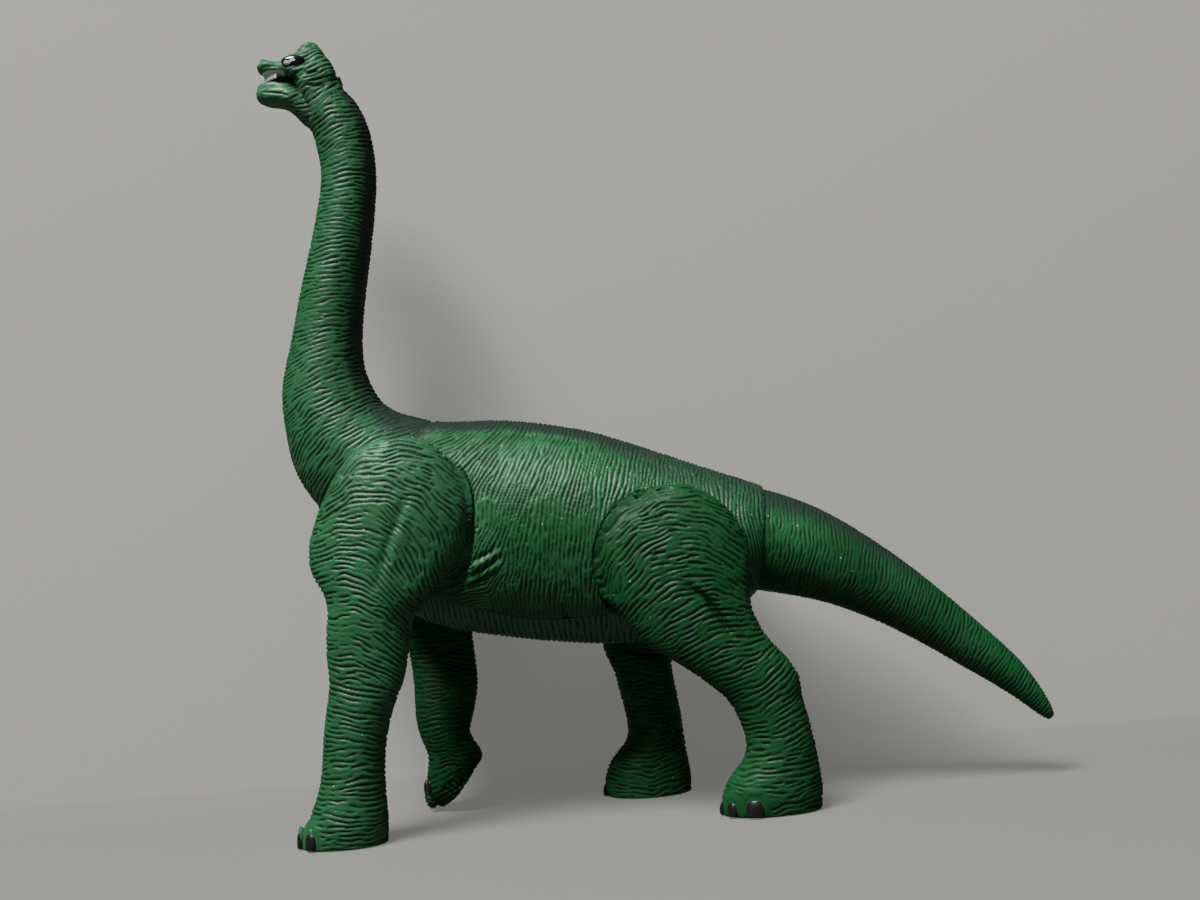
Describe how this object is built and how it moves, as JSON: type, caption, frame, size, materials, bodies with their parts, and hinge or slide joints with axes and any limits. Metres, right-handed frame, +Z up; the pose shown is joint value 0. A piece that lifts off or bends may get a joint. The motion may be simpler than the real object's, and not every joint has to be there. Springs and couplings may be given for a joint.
{
  "type": "toy dinosaur figure",
  "caption": "Long-necked toy dinosaur of soft vinyl, standing on flat soles with its mouth open, whose legs, neck, head and tail snap in and turn.",
  "frame": {"origin": "on the ground plane under the middle of the figure's overall length and width", "axes": "+Z up; the figure faces -X, with its tail towards +X and its left side towards -Y"},
  "size_m": [0.1726, 0.0476, 0.1814],
  "materials": {
    "green_vinyl": "semi-gloss soft vinyl with fine moulded wrinkles",
    "dark_green_vinyl": "semi-gloss soft vinyl, shaded darker with sprayed paint"
  },
  "bodies": {
    "torso": {"torso_shell": "green_vinyl", "belly_plate": "dark_green_vinyl"},
    "neck": {"neck": "green_vinyl"},
    "head": {"head": "green_vinyl"},
    "tail": {"tail": "green_vinyl"},
    "left_foreleg": {"left_foreleg": "green_vinyl"},
    "right_foreleg": {"right_foreleg": "green_vinyl"},
    "left_hind_leg": {"left_hind_leg": "green_vinyl"},
    "right_hind_leg": {"right_hind_leg": "green_vinyl"}
  },
  "joints": [
    {"name": "left_shoulder", "type": "hinge", "parent": "torso", "child": "left_foreleg", "pos_m": [-0.059, -0.0153, 0.07221], "axis": [0, 1, 0], "range_deg": [-15, 20]},
    {"name": "right_shoulder", "type": "hinge", "parent": "torso", "child": "right_foreleg", "pos_m": [-0.059, 0.0153, 0.07221], "axis": [0, 1, 0], "range_deg": [-15, 20]},
    {"name": "left_hip", "type": "hinge", "parent": "torso", "child": "left_hind_leg", "pos_m": [0.00087, -0.0153, 0.05689], "axis": [0, 1, 0], "range_deg": [-15, 10]},
    {"name": "right_hip", "type": "hinge", "parent": "torso", "child": "right_hind_leg", "pos_m": [0.00087, 0.0153, 0.05689], "axis": [0, 1, 0], "range_deg": [-15, 10]},
    {"name": "neck_swivel", "type": "hinge", "parent": "torso", "child": "neck", "pos_m": [-0.06441, 0, 0.08345], "axis": [-0.5253, 0, 0.8509], "range_deg": [-15, 15]},
    {"name": "head_swivel", "type": "hinge", "parent": "neck", "child": "head", "pos_m": [-0.07003, 0, 0.16596], "axis": [-0.7071, 0, 0.7071], "range_deg": [-20, 20]},
    {"name": "tail_swivel", "type": "hinge", "parent": "torso", "child": "tail", "pos_m": [0.02187, 0, 0.05925], "axis": [0.9902, 0, -0.1394], "range_deg": [-15, 15]}
  ]
}
